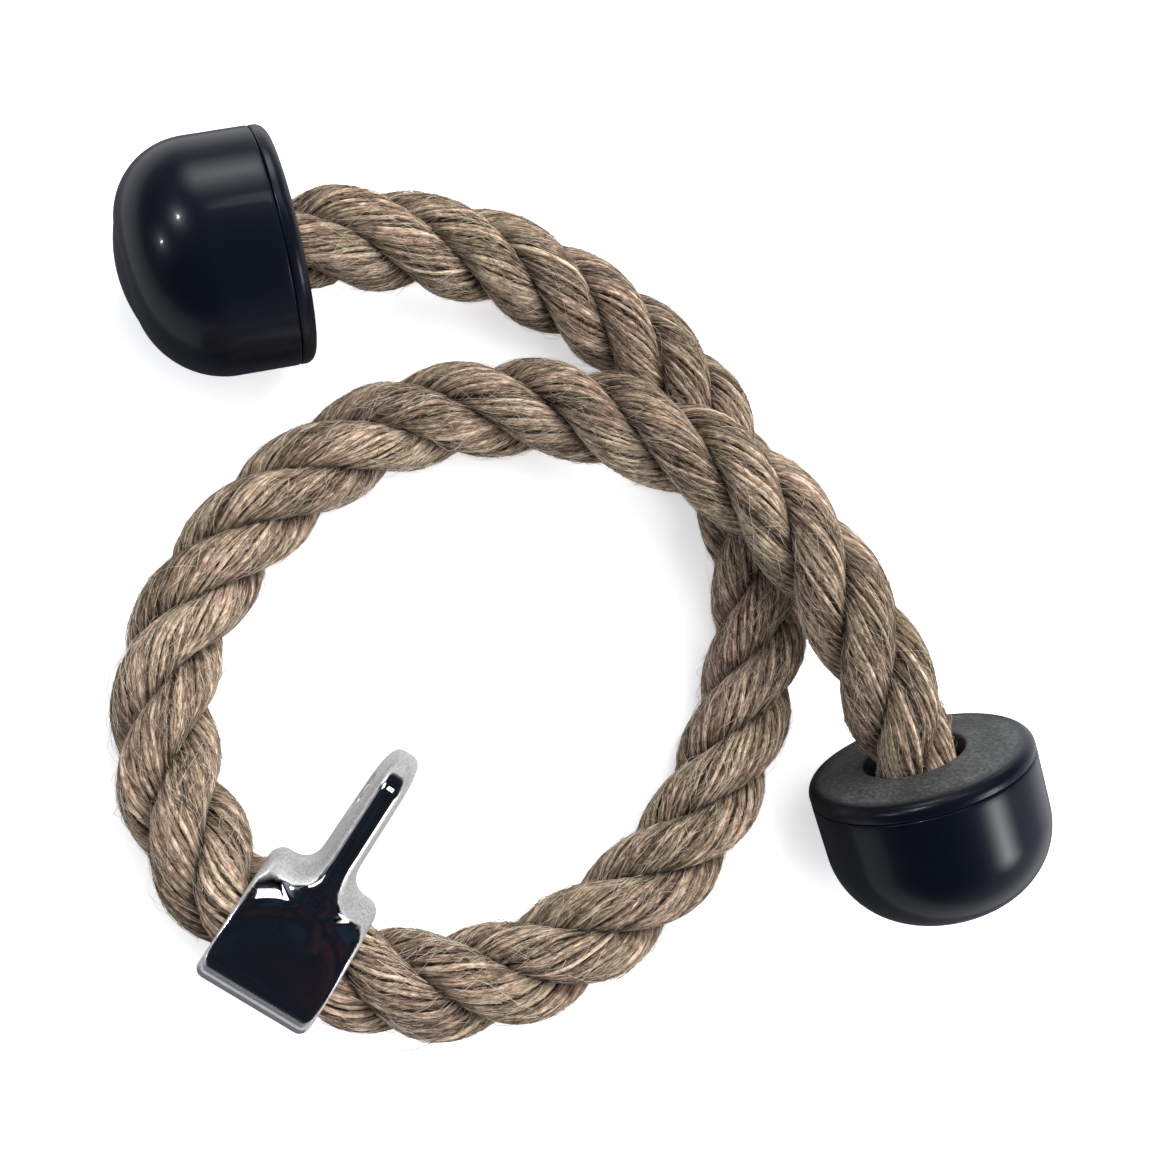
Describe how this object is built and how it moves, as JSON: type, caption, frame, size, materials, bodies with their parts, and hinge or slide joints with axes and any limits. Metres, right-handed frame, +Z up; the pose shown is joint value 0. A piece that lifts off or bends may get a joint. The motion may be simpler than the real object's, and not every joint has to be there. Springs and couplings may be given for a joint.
{
  "type": "triceps rope attachment",
  "caption": "Cable machine handle: a thick three-strand rope through a chromed bracket with a hanging eye, with a domed rubber cap on each end.",
  "frame": {"origin": "middle of the bracket collar's flat back, under the rope's axis, on the ground that the coiled object lies on", "axes": "+X along the rope where it passes through the collar, towards the leg that runs on to the left cap; +Y from the collar towards the eye; +Z up, out of the collar's flat front"},
  "size_m": [0.3217, 0.2365, 0.0692],
  "materials": {
    "chrome": "polished",
    "jute": "coarse natural fibre",
    "black_rubber": "glossy",
    "face_rubber": "matt",
    "zinc_plate": "zinc plated",
    "ferrule_aluminium": "as pressed"
  },
  "bodies": {
    "rope_and_caps": {"left_rope_leg": "jute", "right_rope_leg": "jute", "left_cap_cup": "black_rubber", "left_cap_face_disc": "face_rubber", "left_retaining_washer": "zinc_plate", "left_rope_ferrule": "ferrule_aluminium", "right_cap_cup": "black_rubber", "right_cap_face_disc": "face_rubber", "right_retaining_washer": "zinc_plate", "right_rope_ferrule": "ferrule_aluminium"},
    "bracket": {"eye_bracket": "chrome"}
  },
  "joints": [
    {"name": "bracket_turns_round_rope", "type": "hinge", "parent": "rope_and_caps", "child": "bracket", "pos_m": [0, 0, 0.0186], "axis": [1, 0, 0], "continuous": true}
  ]
}
